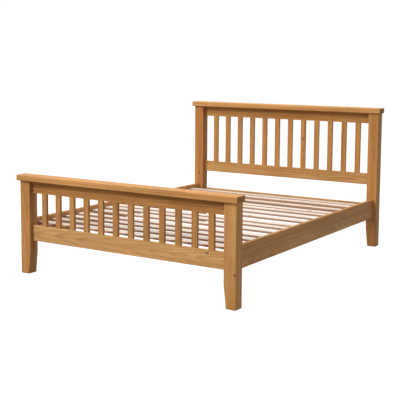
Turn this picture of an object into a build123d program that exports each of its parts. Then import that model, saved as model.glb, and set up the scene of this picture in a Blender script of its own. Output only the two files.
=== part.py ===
from build123d import *
import os

os.makedirs("parts", exist_ok=True)

# Open-frame bed, millimetres. Origin on the floor under the middle of the whole bed,
# +X to the right seen from the foot end, +Y from the foot end to the head end, +Z up.

# Frame over the posts
frame_width = 1630
frame_length = 2150
foot_height = 650
head_height = 1047

# Posts: straight outside, the inner face tapers in towards the floor
post_width = 80
post_depth = 72
taper_start = 143
taper_in = 16
post_round = 2.5

# Cap rails: flush with the back of the posts, proud at the front and at both ends,
# their long edges rounded and their ends eased
cap_thickness = 38
cap_end_overhang = 15
cap_front_overhang = 20
cap_round = 5
cap_end_chamfer = 2

# Rails of the two end panels, set back from the faces of the posts towards the foot end
rail_thickness = 22
foot_rail_setback = 25
head_rail_setback = 40
rail_round = 2
upper_rail_height = 80
middle_rail_height = 84
middle_rail_bottom = 464
lower_rail_height = 102
lower_rail_bottom = 218

# Flat spindles
spindle_count = 12
spindle_width = 40
spindle_thickness = 18
spindle_end_gap = 81
spindle_chamfer = 1.5

# Side rails, set in from the outer faces of the posts
side_rail_thickness = 24
side_rail_height = 140
side_rail_bottom = 218
side_rail_inset = 25
side_rail_round = 3

# Slatted base
ledger_thickness = 20
ledger_height = 30
ledger_chamfer = 2
slat_count = 14
slat_width = 64
slat_thickness = 14
slat_drop = 28
slat_chamfer = 1.5
slat_end_gap = 5
slat_foot_gap = 32
slat_head_gap = 92
slat_shifts = (0, -10, -13, -26, -3, 0, -32, 3, 19, 27, -13, 12, 39, 0)  # loosely laid, off the even pitch

# Mortise and tenon joints
rail_tenon_length = 40
rail_tenon_shoulder = 5
post_tenon_width = 50
post_tenon_depth = 40
post_tenon_height = 22
spindle_tenon_length = 12
spindle_tenon_shoulder = 3
tenon_clearance = 0.2

# Steel corner brackets with their bolts and screws
bracket_rail_leg = 36
bracket_post_leg = 30
bracket_thickness = 3
bracket_height = 90
bracket_below_slat = 1
bracket_bend = 4
bolt_diameter = 8
bolt_wall = 2.5
bolt_head_across = 13
bolt_head_height = 5.5
screw_diameter = 5
screw_length = 18
screw_head_across = 8
screw_head_height = 3.5
fastener_spacing = 50
bore_clearance = 0.3
ledger_bracket_gap = 3

# Places worked out from the sizes above
post_outer = frame_width / 2
post_inner = post_outer - post_width
clear_width = frame_width - 2 * post_width
foot_front = -(frame_length - cap_front_overhang) / 2
foot_back = foot_front + post_depth
head_back = foot_front + frame_length
head_front = head_back - post_depth
side_rail_outer = post_outer - side_rail_inset
side_rail_inner = side_rail_outer - side_rail_thickness
side_rail_top = side_rail_bottom + side_rail_height
side_rail_length = head_front - foot_back
side_rail_middle = (foot_back + head_front) / 2
slat_top = side_rail_top - slat_drop
slat_bottom = slat_top - slat_thickness
slat_length = 2 * (side_rail_inner - slat_end_gap)
slat_pitch = (side_rail_length - slat_foot_gap - slat_head_gap - slat_width) / (slat_count - 1)
bracket_top = slat_bottom - bracket_below_slat
bracket_bottom = bracket_top - bracket_height
behind_foot_rail = post_depth - foot_rail_setback - rail_thickness
wood_before_mortise = min(behind_foot_rail, head_rail_setback) + rail_tenon_shoulder - tenon_clearance
bolt_depth = wood_before_mortise - bolt_wall
spindle_span = clear_width - 2 * spindle_end_gap - spindle_width
spindle_pitch = spindle_span / (spindle_count - 1)
sides = {"left": -1, "right": 1}


def save(part, name):
    part.label = name
    export_step(part, f"parts/{name}.step")


def rail_levels(panel):
    # Bottom and height of each rail between the posts, from the top down
    upper_bottom = panel["height"] - cap_thickness - upper_rail_height
    levels = {"upper": (upper_bottom, upper_rail_height)}
    if panel["has_middle"]:
        levels["middle"] = (middle_rail_bottom, middle_rail_height)
    levels["lower"] = (lower_rail_bottom, lower_rail_height)
    return levels


def fastener_levels():
    middle = (bracket_bottom + bracket_top) / 2
    return [middle - fastener_spacing / 2, middle + fastener_spacing / 2]


def make_post(panel, side):
    top = panel["height"] - cap_thickness
    middle_x = side * (post_outer - post_width / 2)
    middle_y = panel["front"] + post_depth / 2
    with BuildPart() as post:
        with BuildSketch(Plane.XZ.offset(-panel["front"])):
            with BuildLine():
                Polyline(
                    (side * post_outer, 0),
                    (side * post_outer, top),
                    (side * post_inner, top),
                    (side * post_inner, taper_start),
                    (side * (post_inner + taper_in), 0),
                    close=True,
                )
            make_face()
        extrude(amount=-post_depth)
        corners = post.edges().filter_by(Axis.X, reverse=True).filter_by(Axis.Y, reverse=True)
        fillet(corners, post_round)
        # Tenon that carries the cap rail
        with BuildSketch(Plane.XY.offset(top)):
            with Locations((middle_x, middle_y)):
                Rectangle(post_tenon_width, post_tenon_depth)
        extrude(amount=post_tenon_height)
        # Mortises for the rails
        mortise_depth = rail_tenon_length + tenon_clearance
        for bottom, height in rail_levels(panel).values():
            with Locations((side * post_inner, panel["rail_middle"], bottom + height / 2)):
                Box(
                    2 * mortise_depth,
                    rail_thickness - 2 * rail_tenon_shoulder + 2 * tenon_clearance,
                    height - 2 * rail_tenon_shoulder + 2 * tenon_clearance,
                    mode=Mode.SUBTRACT,
                )
        # Bolt bores in the face that the side rail butts against
        bore_x = side * (side_rail_inner - bracket_post_leg / 2)
        for level in fastener_levels():
            with Locations((bore_x, panel["bracket_face"], level)):
                Cylinder(
                    bolt_diameter / 2 + bore_clearance,
                    2 * (bolt_depth + bore_clearance),
                    rotation=(90, 0, 0),
                    mode=Mode.SUBTRACT,
                )
    return post


def make_cap(panel):
    length = frame_width + 2 * cap_end_overhang
    depth = post_depth + cap_front_overhang
    bottom = panel["height"] - cap_thickness
    middle_y = panel["front"] - cap_front_overhang + depth / 2
    with BuildPart() as cap:
        with BuildSketch(Plane.XY.offset(bottom)):
            with Locations((0, middle_y)):
                Rectangle(length, depth)
        extrude(amount=cap_thickness)
        fillet(cap.edges().filter_by(Axis.X), cap_round)
        for end_face in (cap.faces().sort_by(Axis.X)[0], cap.faces().sort_by(Axis.X)[-1]):
            chamfer(end_face.edges(), cap_end_chamfer)
        with Locations(Plane.XY.offset(bottom)):
            with Locations((0, panel["front"] + post_depth / 2)):
                with GridLocations(frame_width - post_width, 0, 2, 1):
                    Box(
                        post_tenon_width + 2 * tenon_clearance,
                        post_tenon_depth + 2 * tenon_clearance,
                        2 * (post_tenon_height + tenon_clearance),
                        mode=Mode.SUBTRACT,
                    )
    return cap


def make_rail(panel, bottom, height, mortise_face):
    middle_z = bottom + height / 2
    with BuildPart() as rail:
        with Locations((0, panel["rail_middle"], middle_z)):
            Box(clear_width, rail_thickness, height)
        long_edges = rail.edges().filter_by(Axis.X)
        fillet(long_edges, rail_round)
        with Locations((0, panel["rail_middle"], middle_z)):
            Box(
                clear_width + 2 * rail_tenon_length,
                rail_thickness - 2 * rail_tenon_shoulder,
                height - 2 * rail_tenon_shoulder,
            )
        if mortise_face:
            face_z = bottom if mortise_face == "under" else bottom + height
            with Locations(Plane((0, panel["rail_middle"], face_z))):
                with GridLocations(spindle_pitch, 0, spindle_count, 1):
                    Box(
                        spindle_width - 2 * spindle_tenon_shoulder + 2 * tenon_clearance,
                        spindle_thickness - 2 * spindle_tenon_shoulder + 2 * tenon_clearance,
                        2 * (spindle_tenon_length + tenon_clearance),
                        mode=Mode.SUBTRACT,
                    )
    return rail


def make_spindle(panel, index, bottom, top):
    middle_x = (index - (spindle_count - 1) / 2) * spindle_pitch
    with BuildPart() as spindle:
        with Locations((middle_x, panel["rail_middle"], (bottom + top) / 2)):
            Box(spindle_width, spindle_thickness, top - bottom)
        chamfer(spindle.edges().filter_by(Axis.Z), spindle_chamfer)
        with Locations((middle_x, panel["rail_middle"], (bottom + top) / 2)):
            Box(
                spindle_width - 2 * spindle_tenon_shoulder,
                spindle_thickness - 2 * spindle_tenon_shoulder,
                top - bottom + 2 * spindle_tenon_length,
            )
    return spindle


def make_side_rail(side):
    middle_x = side * (side_rail_inner + side_rail_outer) / 2
    middle_z = side_rail_bottom + side_rail_height / 2
    with BuildPart() as rail:
        with Locations((middle_x, side_rail_middle, middle_z)):
            Box(side_rail_thickness, side_rail_length, side_rail_height)
        fillet(rail.edges().filter_by(Axis.Y), side_rail_round)
        # Pilot bores for the bracket screws
        for end in (-1, 1):
            screw_y = side_rail_middle + end * (side_rail_length - bracket_rail_leg) / 2
            for level in fastener_levels():
                with Locations((side * side_rail_inner, screw_y, level)):
                    Cylinder(
                        screw_diameter / 2 + bore_clearance,
                        2 * screw_length,
                        rotation=(0, 90, 0),
                        mode=Mode.SUBTRACT,
                    )
    return rail


def make_ledger(side):
    middle_x = side * (side_rail_inner - ledger_thickness / 2)
    length = side_rail_length - 2 * (bracket_rail_leg + ledger_bracket_gap)
    with BuildPart() as ledger:
        with Locations((middle_x, side_rail_middle, slat_bottom - ledger_height / 2)):
            Box(ledger_thickness, length, ledger_height)
        bottom_edges = ledger.edges().filter_by(Axis.Y).group_by(Axis.Z)[0]
        chamfer(bottom_edges, ledger_chamfer)
    return ledger


def make_slat(index):
    shift = slat_shifts[index % len(slat_shifts)]
    middle_y = foot_back + slat_foot_gap + slat_width / 2 + index * slat_pitch + shift
    with BuildPart() as slat:
        with Locations((0, middle_y, slat_top - slat_thickness / 2)):
            Box(slat_length, slat_width, slat_thickness)
        chamfer(slat.edges().filter_by(Axis.X), slat_chamfer)
    return slat


def make_bracket(panel, side):
    # Angle plate in the corner between side rail and post, seen from above as an L
    corner_x = side * side_rail_inner
    corner_y = panel["bracket_face"]
    inward_x = -side
    inward_y = panel["bracket_side"]
    with BuildPart() as bracket:
        with BuildSketch(Plane.XY.offset(bracket_bottom)) as profile:
            with BuildLine():
                Polyline(
                    (corner_x, corner_y),
                    (corner_x + inward_x * bracket_post_leg, corner_y),
                    (corner_x + inward_x * bracket_post_leg, corner_y + inward_y * bracket_thickness),
                    (corner_x + inward_x * bracket_thickness, corner_y + inward_y * bracket_thickness),
                    (corner_x + inward_x * bracket_thickness, corner_y + inward_y * bracket_rail_leg),
                    (corner_x, corner_y + inward_y * bracket_rail_leg),
                    close=True,
                )
            make_face()
            bend = (corner_x + inward_x * bracket_thickness, corner_y + inward_y * bracket_thickness)
            fillet(profile.vertices().sort_by_distance(bend)[0], bracket_bend)
        extrude(amount=bracket_height)
        for level in fastener_levels():
            with Locations((corner_x + inward_x * bracket_post_leg / 2, corner_y, level)):
                Cylinder(
                    bolt_diameter / 2 + bore_clearance,
                    4 * bracket_thickness,
                    rotation=(90, 0, 0),
                    mode=Mode.SUBTRACT,
                )
            with Locations((corner_x, corner_y + inward_y * bracket_rail_leg / 2, level)):
                Cylinder(
                    screw_diameter / 2 + bore_clearance,
                    4 * bracket_thickness,
                    rotation=(0, 90, 0),
                    mode=Mode.SUBTRACT,
                )
    return bracket


def make_bolts(panels):
    # Hexagon-headed bolts from the brackets into the posts
    with BuildPart() as bolts:
        for panel in panels.values():
            away = panel["bracket_side"]
            seat_y = panel["bracket_face"] + away * bracket_thickness
            for side in sides.values():
                bolt_x = side * (side_rail_inner - bracket_post_leg / 2)
                for level in fastener_levels():
                    seat = Plane((bolt_x, seat_y, level), x_dir=(1, 0, 0), z_dir=(0, away, 0))
                    with BuildSketch(seat):
                        RegularPolygon(bolt_head_across / 2, 6, major_radius=False)
                    extrude(amount=bolt_head_height)
                    with BuildSketch(seat):
                        Circle(bolt_diameter / 2)
                    extrude(amount=-bracket_thickness - bolt_depth)
    return bolts


def make_screws(panels):
    # Hexagon-headed coach screws from the brackets into the side rails
    with BuildPart() as screws:
        for panel in panels.values():
            screw_y = panel["bracket_face"] + panel["bracket_side"] * bracket_rail_leg / 2
            for side in sides.values():
                seat_x = side * (side_rail_inner - bracket_thickness)
                for level in fastener_levels():
                    seat = Plane((seat_x, screw_y, level), x_dir=(0, 1, 0), z_dir=(-side, 0, 0))
                    with BuildSketch(seat):
                        RegularPolygon(screw_head_across / 2, 6, major_radius=False)
                    extrude(amount=screw_head_height)
                    with BuildSketch(seat):
                        Circle(screw_diameter / 2)
                    extrude(amount=-screw_length)
    return screws


panels = {
    "foot": {
        "height": foot_height,
        "front": foot_front,
        "rail_middle": foot_front + foot_rail_setback + rail_thickness / 2,
        "bracket_face": foot_back,
        "bracket_side": 1,
        "has_middle": False,
    },
    "head": {
        "height": head_height,
        "front": head_front,
        "rail_middle": head_front + head_rail_setback + rail_thickness / 2,
        "bracket_face": head_front,
        "bracket_side": -1,
        "has_middle": True,
    },
}

for end, panel in panels.items():
    for side_name, side in sides.items():
        save(make_post(panel, side).part, f"{end}_post_{side_name}")
        save(make_bracket(panel, side).part, f"{end}_bracket_{side_name}")
    save(make_cap(panel).part, f"{end}_cap_rail")

    # The spindles stand between the upper rail and the next rail down
    levels = rail_levels(panel)
    standing_rail = "middle" if panel["has_middle"] else "lower"
    mortise_faces = {"upper": "under", standing_rail: "top"}
    for level_name, (bottom, height) in levels.items():
        rail = make_rail(panel, bottom, height, mortise_faces.get(level_name))
        save(rail.part, f"{end}_{level_name}_rail")
    spindle_bottom = sum(levels[standing_rail])
    spindle_top = levels["upper"][0]
    for index in range(spindle_count):
        spindle = make_spindle(panel, index, spindle_bottom, spindle_top)
        save(spindle.part, f"{end}_spindle_{index + 1:02d}")

for side_name, side in sides.items():
    save(make_side_rail(side).part, f"side_rail_{side_name}")
    save(make_ledger(side).part, f"slat_ledger_{side_name}")

for index in range(slat_count):
    save(make_slat(index).part, f"slat_{index + 1:02d}")

save(make_bolts(panels).part, "bracket_bolts")
save(make_screws(panels).part, "bracket_screws")
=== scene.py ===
import math
import random

import bmesh
import bpy
from mathutils import Euler, Matrix, Vector


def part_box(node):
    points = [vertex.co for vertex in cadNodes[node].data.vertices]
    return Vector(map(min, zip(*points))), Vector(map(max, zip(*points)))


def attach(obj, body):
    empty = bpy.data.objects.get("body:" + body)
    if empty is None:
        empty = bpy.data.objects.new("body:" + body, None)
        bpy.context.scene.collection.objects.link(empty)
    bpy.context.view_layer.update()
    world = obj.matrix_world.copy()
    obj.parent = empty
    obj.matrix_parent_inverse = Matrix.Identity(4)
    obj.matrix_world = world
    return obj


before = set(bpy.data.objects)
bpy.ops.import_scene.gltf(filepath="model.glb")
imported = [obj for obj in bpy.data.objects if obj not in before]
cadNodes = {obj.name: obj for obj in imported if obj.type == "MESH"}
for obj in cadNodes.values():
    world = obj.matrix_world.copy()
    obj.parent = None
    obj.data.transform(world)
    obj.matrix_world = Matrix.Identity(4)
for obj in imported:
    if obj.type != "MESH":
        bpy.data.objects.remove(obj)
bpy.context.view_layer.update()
print("bed frame loaded:", len(cadNodes), "pieces")


# Node sheets: sums written as sums

class Wire:  # an output socket that can be added, multiplied and so on
    def __init__(self, sheet, socket):
        self.sheet = sheet
        self.socket = socket

    def maths(self, operation, *others):
        return self.sheet.maths(operation, self, *others)

    def __add__(self, other):
        return self.maths("ADD", other)

    def __sub__(self, other):
        return self.maths("SUBTRACT", other)

    def __rsub__(self, other):
        return self.sheet.maths("SUBTRACT", other, self)

    def __mul__(self, other):
        return self.maths("MULTIPLY", other)

    def __truediv__(self, other):
        return self.maths("DIVIDE", other)

    def __pow__(self, other):
        return self.maths("POWER", other)

    __radd__ = __add__
    __rmul__ = __mul__


class NodeSheet:  # a node tree that is filled one node at a time
    def __init__(self, tree):
        self.tree = tree
        tree.nodes.clear()

    def add(self, kind, settings=None, sockets=None, out=0):
        node = self.tree.nodes.new(kind)
        for name, value in (settings or {}).items():
            setattr(node, name, value)
        for key, value in (sockets or {}).items():
            if isinstance(value, Wire):
                self.tree.links.new(value.socket, node.inputs[key])
            else:
                node.inputs[key].default_value = value
        return Wire(self, node.outputs[out]) if len(node.outputs) else node

    def maths(self, operation, *values):
        return self.add("ShaderNodeMath", {"operation": operation}, dict(enumerate(values)))

    def vector(self, operation, *values, out=0):
        return self.add("ShaderNodeVectorMath", {"operation": operation}, dict(enumerate(values)), out)

    def blend(self, factor, first, second, mode="MIX"):  # two colours, 6 and 7 are the colour inputs
        settings = {"data_type": "RGBA", "blend_type": mode, "clamp_factor": True}
        return self.add("ShaderNodeMix", settings, {0: factor, 6: first, 7: second}, 2)

    def ease(self, value, start, end, low=0.0, high=1.0):  # smooth step from start to end
        return self.add("ShaderNodeMapRange", {"interpolation_type": "SMOOTHSTEP"},
                        {0: value, 1: start, 2: end, 3: low, 4: high})


def rgba(colour, gain=1.0):
    return tuple(min(1.0, part * gain) for part in colour) + (1.0,)


# Wood: one recipe for the oak of the frame and the pine under the mattress
# The pattern is cut from a log in three dimensions. Its own x runs along the grain, y across the
# board and z through it, so faces, edges and ends agree with one another.

oakLook = {
    "pale": (0.640, 0.350, 0.130),
    "warm": (0.505, 0.238, 0.072),
    "late": (0.280, 0.110, 0.030),
    "pore": (0.120, 0.045, 0.014),
    "fleck": (0.660, 0.370, 0.145),
    "knot": (0.075, 0.026, 0.010),
    "gapShadeDepth": 0.0,
    "endShade": 0.70,
    "wearAndHighlightTint": (0.72, 0.43, 0.19),
    "ringWidth": 0.0046,
    "ringDepth": 0.62,
    "wander": 0.012,
    "poreDepth": 0.45,
    "fleckDepth": 0.25,
    "roughness": 0.52,
    "gloss": 0.12,
    "bump": 0.35,
    "bumpHeight": 0.0006,
}

pineLook = {
    "pale": (0.750, 0.695, 0.645),
    "warm": (0.690, 0.605, 0.530),
    "late": (0.620, 0.470, 0.360),
    "pore": (0.520, 0.360, 0.240),
    "fleck": (0.820, 0.740, 0.670),
    "knot": (0.180, 0.075, 0.030),
    # painted shade: dark brown laid on the slats' long edges for the shaded gaps between them
    "gapShade": (0.400, 0.190, 0.090),
    "gapShadeDepth": 0.80,
    "endShade": 0.72,
    "wearAndHighlightTint": (0.86, 0.76, 0.66),
    "ringWidth": 0.0062,
    "ringDepth": 0.55,
    "wander": 0.010,
    "poreDepth": 0.12,
    "fleckDepth": 0.10,
    "roughness": 0.62,
    "gloss": 0.15,
    "bump": 0.30,
    "bumpHeight": 0.0006,
}


def woodMaterial(name, look, board):
    mat = bpy.data.materials.new(name)
    mat.use_nodes = True
    sheet = NodeSheet(mat.node_tree)
    low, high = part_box(name)
    turn = Matrix((board["along"], board["across"], board["along"].cross(board["across"])))
    half = turn @ ((high - low) / 2)
    half = Vector(abs(part) for part in half)
    middle = (low + high) / 2

    # the board's own place, measured from its middle
    coords = sheet.add("ShaderNodeTexCoord", out="Object")
    facing = sheet.add("ShaderNodeTexCoord", out="Normal")
    place = sheet.add("ShaderNodeMapping", None,
                      {"Vector": coords, "Location": -(turn @ middle), "Rotation": turn.to_euler()})

    def grain(scale, detail, shift, out="Fac"):  # noise stretched along the grain
        spot = sheet.vector("MULTIPLY_ADD", place, scale, (board["seed"] + shift,) * 3)
        return sheet.add("ShaderNodeTexNoise", None,
                         {"Vector": spot, "Scale": 1.0, "Detail": detail, "Roughness": 0.55}, out)

    def parts(vector):
        split = sheet.add("ShaderNodeSeparateXYZ", None, {0: vector}).socket.node
        return [Wire(sheet, out) for out in split.outputs]

    x, y, z = parts(place)

    # growth rings round a heart that lies beside the board and drifts along it
    drift = sheet.vector("SUBTRACT", grain((1.3, 7.0, 7.0), 2.0, 3.1, "Color"), (0.5, 0.5, 0.5))
    dx, dy, dz = parts(sheet.vector("MULTIPLY", drift, (0.0, look["wander"] * 2, look["wander"] * 2)))
    heartY, heartZ = board["heart"]
    leanY, leanZ = board["lean"]
    ry = y - x * leanY - heartY + dy
    rz = z - x * leanZ - heartZ + dz
    radius = (ry * ry + rz * rz) ** 0.5

    knotCore = None
    for spotX, spotY, size in board["knots"]:
        kx = (x - spotX) / (size * 1.5)
        ky = (y - spotY) / size
        away = kx * kx + ky * ky
        swirl = (away * -0.22).maths("EXPONENT")
        radius = radius + swirl * (size * 1.1)
        core = sheet.ease(away, 1.3, 0.25)
        knotCore = core if knotCore is None else knotCore.maths("MAXIMUM", core)

    turns = (radius / (look["ringWidth"] * board["ringStretch"])).maths("FRACT")
    late = sheet.ease(turns, 0.25, 0.86) * sheet.ease(turns, 1.0, 0.90)
    clear = sheet.ease(grain((1.1, 11.0, 11.0), 2.0, 9.7), 0.36, 0.66, 0.35, 1.0)
    late = late * clear

    fibre = grain((1.6, 130.0, 130.0), 3.0, 17.3)
    streak = sheet.ease(grain((0.8, 34.0, 34.0), 3.0, 23.9), 0.30, 0.72)
    cloud = grain((1.7, 6.0, 6.0), 3.0, 31.7)
    pore = sheet.ease(grain((42.0, 1500.0, 1500.0), 1.0, 41.3), 0.56, 0.66) * (1.0 - late)
    fleck = sheet.ease(grain((60.0, 420.0, 60.0), 1.0, 57.1), 0.62, 0.70)

    # edges: how far the nearest arris is, from the board's own box
    qx, qy, qz = (size - part.maths("ABSOLUTE") for size, part in zip(half, (x, y, z)))
    arris = qx.maths("MINIMUM", qy).maths("MAXIMUM", qx.maths("MAXIMUM", qy).maths("MINIMUM", qz))
    rub = grain((14.0, 60.0, 60.0), 2.0, 71.9)
    # lighter arrises: worn finish, and in part a painted highlight where the rounded edges catch the
    # light
    wearAndHighlight = sheet.ease(arris, 0.0042, 0.0008) * sheet.ease(rub, 0.35, 0.60)
    endGrain = sheet.vector("DOT_PRODUCT", facing, tuple(board["along"]), out="Value")
    endGrain = sheet.ease(endGrain.maths("ABSOLUTE"), 0.55, 0.85)

    colour = sheet.blend(streak, rgba(look["pale"]), rgba(look["warm"]))
    colour = sheet.blend(late * look["ringDepth"], colour, rgba(look["late"]))
    colour = sheet.blend(sheet.ease(fibre, 0.42, 0.72) * 0.35, colour, rgba(look["late"]))
    colour = sheet.blend(fleck * look["fleckDepth"], colour, rgba(look["fleck"]))
    colour = sheet.blend(pore * look["poreDepth"], colour, rgba(look["pore"]))
    shade = sheet.ease(cloud, 0.25, 0.75, 0.88, 1.10) * (1.0 - endGrain * (1.0 - look["endShade"]))
    shadeColour = sheet.add("ShaderNodeCombineColor", None, {0: shade, 1: shade, 2: shade})
    colour = sheet.blend(1.0, colour, shadeColour, "MULTIPLY")
    # the board's tint: a random tone, and for the upper rails, head posts and left posts painted shade as
    # well
    colour = sheet.blend(1.0, colour, board["tint"] + (1.0,), "MULTIPLY")
    # painted highlight and wear: the arrises are blended towards a lighter colour
    colour = sheet.blend(wearAndHighlight * 0.35, colour, rgba(look["wearAndHighlightTint"]))
    if look["gapShadeDepth"]:  # painted shade: the slats' long edges are darkened to stand for the shade in the gaps between the slats
        gapShade = sheet.vector("DOT_PRODUCT", facing, tuple(board["across"]), out="Value")
        gapShade = sheet.ease(gapShade.maths("ABSOLUTE"), 0.50, 0.80) * sheet.ease(rub, 0.15, 0.45, 0.75, 1.0)
        colour = sheet.blend(gapShade * look["gapShadeDepth"], colour, rgba(look["gapShade"]))
    if knotCore is not None:
        colour = sheet.blend(knotCore * 0.85, colour, rgba(look["knot"]))

    rough = look["roughness"] + (fibre - 0.5) * 0.18 + pore * 0.20 + wearAndHighlight * 0.10 + endGrain * 0.18
    height = fibre * 0.5 - late * 0.5 - pore * 0.9
    normal = sheet.add("ShaderNodeBump", None,
                       {"Strength": look["bump"], "Distance": look["bumpHeight"], "Height": height})
    surface = sheet.add("ShaderNodeBsdfPrincipled", None,
                        {"Base Color": colour, "Roughness": rough, "Normal": normal, "IOR": 1.5,
                         "Specular IOR Level": look["gloss"]})
    sheet.add("ShaderNodeOutputMaterial", None, {"Surface": surface})
    return mat


axisX, axisY, axisZ = Vector((1, 0, 0)), Vector((0, 1, 0)), Vector((0, 0, 1))

boardKinds = {  # first match wins: part of the node's name, grain direction, direction across the board
    "post": (axisZ, axisX),
    "cap_rail": (axisX, axisY),
    "spindle": (axisZ, axisX),
    "side_rail": (axisY, axisZ),
    "ledger": (axisY, axisZ),
    "slat": (axisX, axisY),
    "rail": (axisX, axisZ),
}

kindTintsAndShade = {  # boards darker or redder than the rest: painted shade on the upper rails under the caps, and on the head posts and left posts, which are darkened and reddened whole for their shaded sides; the spindles are only tinted
    "upper_rail": (0.89, 0.82, 0.72),
    "foot_spindle": (0.90, 0.86, 0.84),
    "head_spindle": (0.98, 0.91, 0.82),
    "head_post": (0.97, 0.90, 0.84),
    "post_left": (0.95, 0.89, 0.86),
}

# what sets single boards apart: tint, heart and lean of the log, knots as (along, across, size)
boardNotes = {
    "foot_lower_rail": {"tint": (1.12, 1.24, 1.45), "heart": (-0.005, -0.090), "lean": (0.006, 0.030),
                        "ringStretch": 1.5, "knots": [(0.608, 0.032, 0.006)]},
    "foot_post_right": {"knots": [(-0.115, 0.032, 0.007)]},
    "head_post_left": {"knots": [(-0.070, 0.008, 0.007)]},
    "head_spindle_08": {"knots": [(0.042, 0.000, 0.007), (-0.040, 0.003, 0.005)]},
    "slat_08": {"knots": [(0.282, -0.020, 0.011)]},
    "slat_11": {"knots": [(0.540, -0.016, 0.012)]},
}


def dressBoard(name, look, seed):
    draw = random.Random(seed)
    kind = next(kind for kind in boardKinds if kind in name)
    along, across = boardKinds[kind]
    light = draw.uniform(0.94, 1.05)
    red = draw.uniform(-0.03, 0.03)
    board = {
        "along": along,
        "across": across,
        "seed": seed * 7.31,
        "tint": (light * (1 + red), light, light * (1 - red)),
        "heart": (draw.uniform(-0.05, 0.05), draw.choice((-1, 1)) * draw.uniform(0.035, 0.12)),
        "lean": (draw.uniform(-0.03, 0.03), draw.uniform(-0.05, 0.05)),
        "ringStretch": 1.0,
        "knots": [],
    }
    for part, tint in kindTintsAndShade.items():
        if part in name:
            board["tint"] = tuple(a * b for a, b in zip(board["tint"], tint))
    board.update(boardNotes.get(name, {}))
    slots = cadNodes[name].material_slots
    mat = woodMaterial(name, look, board)
    for slot in slots:
        slot.material = mat


for number, name in enumerate(sorted(cadNodes)):
    if "bracket" in name:
        continue
    dressBoard(name, pineLook if name.startswith("slat_") else oakLook, number + 1)
print("oak and pine done")


# Zinc-plated steel: brackets, bolts and screws

zincLook = {
    "bright": (0.62, 0.64, 0.66),
    "dull": (0.40, 0.42, 0.44),
    "smear": (0.30, 0.31, 0.30),
    "spangle": 90.0,
    "roughness": 0.34,
}


def zincMaterial(look):
    mat = bpy.data.materials.new("zincPlatedSteel")
    mat.use_nodes = True
    sheet = NodeSheet(mat.node_tree)
    place = sheet.add("ShaderNodeTexCoord", out="Object")
    spangle = sheet.add("ShaderNodeTexVoronoi", None,
                        {"Vector": place, "Scale": look["spangle"]}, "Distance")
    haze = sheet.add("ShaderNodeTexNoise", None, {"Vector": place, "Scale": 34.0, "Detail": 4.0})
    brushed = sheet.add("ShaderNodeTexNoise", None,
                        {"Vector": sheet.vector("MULTIPLY", place, (900.0, 900.0, 60.0)), "Detail": 2.0})
    colour = sheet.blend(sheet.ease(spangle, 0.1, 0.8), rgba(look["bright"]), rgba(look["dull"]))
    colour = sheet.blend(sheet.ease(haze, 0.55, 0.75) * 0.6, colour, rgba(look["smear"]))
    rough = look["roughness"] + (haze - 0.5) * 0.30 + (brushed - 0.5) * 0.12
    normal = sheet.add("ShaderNodeBump", None,
                       {"Strength": 0.25, "Distance": 0.0002, "Height": brushed + spangle * 0.4})
    surface = sheet.add("ShaderNodeBsdfPrincipled", None,
                        {"Base Color": colour, "Metallic": 1.0, "Roughness": rough, "Normal": normal})
    sheet.add("ShaderNodeOutputMaterial", None, {"Surface": surface})
    return mat


zinc = zincMaterial(zincLook)
for name, node in cadNodes.items():
    if "bracket" in name:
        for slot in node.material_slots:
            slot.material = zinc
print("steel done")


# Countersunk screws that hold the slats and the ledgers

screwLook = {
    "headRadius": 0.0036,
    "proud": 0.0004,
    "sink": 0.0016,
    "recess": 0.0016,
    "slatInset": 0.0075,
    "slatSpread": 0.018,
    "ledgerEnd": 0.06,
    "ledgerCount": 9,
    "seed": 11,
}


def screwHead(look):  # a cross-recessed head, 12-sided, its axis along z and its rim at z = 0
    mesh = bpy.data.meshes.new("screwHead")
    bm = bmesh.new()
    sides = 12
    rings = []
    for radius, height in ((0.55, -look["sink"]), (1.0, -look["proud"]), (0.93, look["proud"] * 0.5),
                           (0.62, look["proud"])):
        ring = []
        for step in range(sides):
            angle = math.tau * step / sides
            ring.append(bm.verts.new((look["headRadius"] * radius * math.cos(angle),
                                      look["headRadius"] * radius * math.sin(angle), height)))
        rings.append(ring)
    inner = []
    for step in range(sides):  # the recess pulls in between its four arms
        angle = math.tau * step / sides
        radius = 0.55 if step % 3 == 0 else 0.24
        inner.append(bm.verts.new((look["headRadius"] * radius * math.cos(angle),
                                   look["headRadius"] * radius * math.sin(angle), look["proud"])))
    rings.append(inner)
    bottom = [bm.verts.new((v.co.x * 0.7, v.co.y * 0.7, look["proud"] - look["recess"])) for v in inner]
    rings.append(bottom)
    for lower, upper in zip(rings, rings[1:]):
        for step in range(sides):
            bm.faces.new((lower[step], lower[(step + 1) % sides], upper[(step + 1) % sides], upper[step]))
    bm.faces.new(list(reversed(rings[0])))
    bm.faces.new(bottom)
    bmesh.ops.recalc_face_normals(bm, faces=bm.faces)
    bm.to_mesh(mesh)
    bm.free()
    head = bpy.data.objects.new("screwHead", mesh)
    bpy.context.scene.collection.objects.link(head)
    return head


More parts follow.
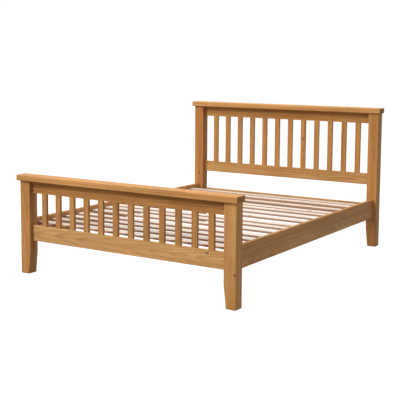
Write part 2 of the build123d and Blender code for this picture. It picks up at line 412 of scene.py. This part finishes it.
def screwRows(name, head, rows, tilt):
    # rows: start point, step and count of each row of screws; tilt turns the heads to their face
    tree = bpy.data.node_groups.new(name, "GeometryNodeTree")
    tree.interface.new_socket("Geometry", in_out="INPUT", socket_type="NodeSocketGeometry")
    tree.interface.new_socket("Geometry", in_out="OUTPUT", socket_type="NodeSocketGeometry")
    inputs = {"Head": ("NodeSocketObject", head), "Finish": ("NodeSocketMaterial", zinc),
              "Seed": ("NodeSocketInt", screwLook["seed"]), "Tilt": ("NodeSocketRotation", tilt)}
    for number, (start, step, count) in enumerate(rows):
        inputs[f"Start {number}"] = ("NodeSocketVector", start)
        inputs[f"Step {number}"] = ("NodeSocketVector", step)
        inputs[f"Count {number}"] = ("NodeSocketInt", count)
    identifiers = {}
    for label, (kind, value) in inputs.items():
        identifiers[label] = tree.interface.new_socket(label, in_out="INPUT", socket_type=kind).identifier
    sheet = NodeSheet(tree)
    given = sheet.add("NodeGroupInput").socket.node.outputs
    given = {out.name: Wire(sheet, out) for out in given}
    joined = tree.nodes.new("GeometryNodeJoinGeometry")
    for number in range(len(rows)):
        line = sheet.add("GeometryNodeMeshLine", {"mode": "OFFSET"},
                         {"Count": given[f"Count {number}"], "Start Location": given[f"Start {number}"],
                          "Offset": given[f"Step {number}"]})
        tree.links.new(line.socket, joined.inputs[0])
    points = sheet.add("GeometryNodeMeshToPoints", None, {0: Wire(sheet, joined.outputs[0])})
    model = sheet.add("GeometryNodeObjectInfo", None, {"Object": given["Head"]}, "Geometry")
    spin = sheet.add("FunctionNodeRandomValue", {"data_type": "FLOAT"},
                     {"Min": 0.0, "Max": math.tau, "Seed": given["Seed"]}, 1)
    twist = sheet.add("FunctionNodeAxisAngleToRotation", None, {"Axis": (0.0, 0.0, 1.0), "Angle": spin})
    facing = sheet.add("FunctionNodeRotateRotation", {"rotation_space": "LOCAL"},
                       {0: given["Tilt"], 1: twist})
    placed = sheet.add("GeometryNodeInstanceOnPoints", None,
                       {"Points": points, "Instance": model, "Rotation": facing})
    real = sheet.add("GeometryNodeRealizeInstances", None, {0: placed})
    finished = sheet.add("GeometryNodeSetMaterial", None, {"Geometry": real, "Material": given["Finish"]})
    sheet.add("NodeGroupOutput", None, {0: finished})

    host = bpy.data.objects.new(name + "Host", bpy.data.meshes.new(name + "Host"))
    bpy.context.scene.collection.objects.link(host)
    modifier = host.modifiers.new("rows", "NODES")
    modifier.node_group = tree
    for label, (kind, value) in inputs.items():
        modifier[identifiers[label]] = value
    shown = host.evaluated_get(bpy.context.evaluated_depsgraph_get())
    mesh = bpy.data.meshes.new_from_object(shown)
    host.modifiers.clear()
    bpy.data.objects.remove(host)
    piece = bpy.data.objects.new(name, mesh)
    bpy.context.scene.collection.objects.link(piece)
    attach(piece, "root")
    return piece


head = screwHead(screwLook)
slatNames = sorted(name for name in cadNodes if name.startswith("slat_") and name[5:].isdigit())
rows = []
for name in slatNames:  # the slats lie unevenly, so each has its own two pairs
    low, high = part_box(name)
    reach = high.x - screwLook["slatInset"]
    for side in (-1, 1):
        start = Vector((side * reach, (low.y + high.y) / 2 - screwLook["slatSpread"], high.z))
        rows.append((start, Vector((0, 2 * screwLook["slatSpread"], 0)), 2))
slatScrews = screwRows("slat_screws", head, rows, Euler((0, 0, 0)))
print("slat screws:", len(slatScrews.data.polygons), "faces")

for side, label in ((-1, "left"), (1, "right")):
    low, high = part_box("slat_ledger_" + label)
    inner = min(abs(low.x), abs(high.x)) * side
    length = high.y - low.y - 2 * screwLook["ledgerEnd"]
    step = length / (screwLook["ledgerCount"] - 1)
    start = Vector((inner, low.y + screwLook["ledgerEnd"], (low.z + high.z) / 2))
    screwRows("ledger_screws_" + label, head, [(start, Vector((0, step, 0)), screwLook["ledgerCount"])],
              Euler((0, -side * math.pi / 2, 0)))
bpy.data.objects.remove(head)
print("ledger screws done")


# Floor, light and camera

studioLook = {
    "floorSize": 60.0,
    "floorBounce": 0.32,
    "floorShadow": 0.20,
    "floorGlow": 0.955,
    "skyStrength": 0.27,
    "keyPower": 980.0,
    "keySize": 5.0,
    "keyPlace": (-3.7, -7.6, 6.9),
    "keyColour": (1.0, 0.975, 0.94),
    "topPower": 180.0,
    "topSize": 3.4,
    "topPlace": (0.0, 0.6, 5.2),
    "topColour": (1.0, 0.99, 0.98),
    "sidePower": 9.0,
    "sideSize": 2.0,
    "sidePlace": (3.4, -0.6, 1.2),
    "sideColour": (1.0, 0.98, 0.96),
    "skyColour": (1.0, 0.99, 0.975),
}


def seenRays(sheet):  # 1 for camera, glossy and transmission rays, which see plain white
    ray = sheet.add("ShaderNodeLightPath").socket.node
    seen = Wire(sheet, ray.outputs["Is Camera Ray"])
    for label in ("Is Glossy Ray", "Is Transmission Ray"):
        seen = seen.maths("MAXIMUM", Wire(sheet, ray.outputs[label]))
    return seen


def buildFloor(look):
    mesh = bpy.data.meshes.new("studioFloor")
    reach = look["floorSize"] / 2
    mesh.from_pydata([(-reach, -reach, 0), (reach, -reach, 0), (reach, reach, 0), (-reach, reach, 0)], [],
                     [(0, 1, 2, 3)])
    floor = bpy.data.objects.new("studioFloor", mesh)
    bpy.context.scene.collection.objects.link(floor)
    floor.location.z = -0.0005
    mat = bpy.data.materials.new("studioFloor")
    mat.use_nodes = True
    sheet = NodeSheet(mat.node_tree)
    seen = seenRays(sheet)
    bounce = sheet.add("ShaderNodeBsdfDiffuse", None, {"Color": rgba((look["floorBounce"],) * 3)})
    shadow = sheet.add("ShaderNodeBsdfDiffuse", None, {"Color": rgba((look["floorShadow"],) * 3)})
    white = sheet.add("ShaderNodeEmission", None, {"Strength": look["floorGlow"]})
    both = sheet.add("ShaderNodeAddShader", None, {0: shadow, 1: white})
    surface = sheet.add("ShaderNodeMixShader", None, {0: seen, 1: bounce, 2: both})
    sheet.add("ShaderNodeOutputMaterial", None, {"Surface": surface})
    mesh.materials.append(mat)


def buildSky(look):
    world = bpy.data.worlds.new("studioSky")
    bpy.context.scene.world = world
    world.use_nodes = True
    sheet = NodeSheet(world.node_tree)
    seen = seenRays(sheet)
    soft = sheet.add("ShaderNodeBackground", None,
                     {"Color": rgba(look["skyColour"]), "Strength": look["skyStrength"]})
    white = sheet.add("ShaderNodeBackground", None, {"Color": rgba((1.0, 1.0, 1.0)), "Strength": 1.0})
    both = sheet.add("ShaderNodeMixShader", None, {0: seen, 1: soft, 2: white})
    sheet.add("ShaderNodeOutputWorld", None, {"Surface": both})


def buildSoftbox(look, part):
    data = bpy.data.lights.new(part + "Softbox", "AREA")
    data.shape = "SQUARE"
    data.size = look[part + "Size"]
    data.energy = look[part + "Power"]
    data.color = look[part + "Colour"]
    lamp = bpy.data.objects.new(part + "Softbox", data)
    bpy.context.scene.collection.objects.link(lamp)
    lamp.location = look[part + "Place"]
    aim = Vector((0, 0, 0.4)) - lamp.location
    lamp.rotation_euler = aim.to_track_quat("-Z", "Y").to_euler()


cameraLook = {  # found from the picture's own lines; angles in radians, shift as a share of the frame
    "place": (3.29559, -5.30266, 1.41170),
    "yaw": 0.559894,
    "pitch": -0.113531,
    "roll": 0.007856,
    "lens": 80.7307,
    "shift": (-0.025, -0.100),
}


def buildCamera(look):
    data = bpy.data.cameras.new("bedCamera")
    camera = bpy.data.objects.new("bedCamera", data)
    bpy.context.scene.collection.objects.link(camera)
    yaw, pitch, roll = look["yaw"], look["pitch"], look["roll"]
    ahead = Vector((-math.sin(yaw) * math.cos(pitch), math.cos(yaw) * math.cos(pitch), math.sin(pitch)))
    right = Vector((math.cos(yaw), math.sin(yaw), 0))
    up = right.cross(ahead)
    turnedRight = math.cos(roll) * right + math.sin(roll) * up
    turnedUp = math.cos(roll) * up - math.sin(roll) * right
    camera.matrix_world = (Matrix.Translation(look["place"])
                           @ Matrix((turnedRight, turnedUp, -ahead)).transposed().to_4x4())
    data.sensor_width = 36.0
    data.lens = look["lens"]
    data.shift_x, data.shift_y = look["shift"]
    data.clip_start = 0.1
    data.clip_end = 200.0
    bpy.context.scene.camera = camera


buildFloor(studioLook)
buildSky(studioLook)
buildSoftbox(studioLook, "key")
buildSoftbox(studioLook, "top")
buildSoftbox(studioLook, "side")
buildCamera(cameraLook)
bpy.context.scene.view_settings.view_transform = "Standard"
print("studio done")
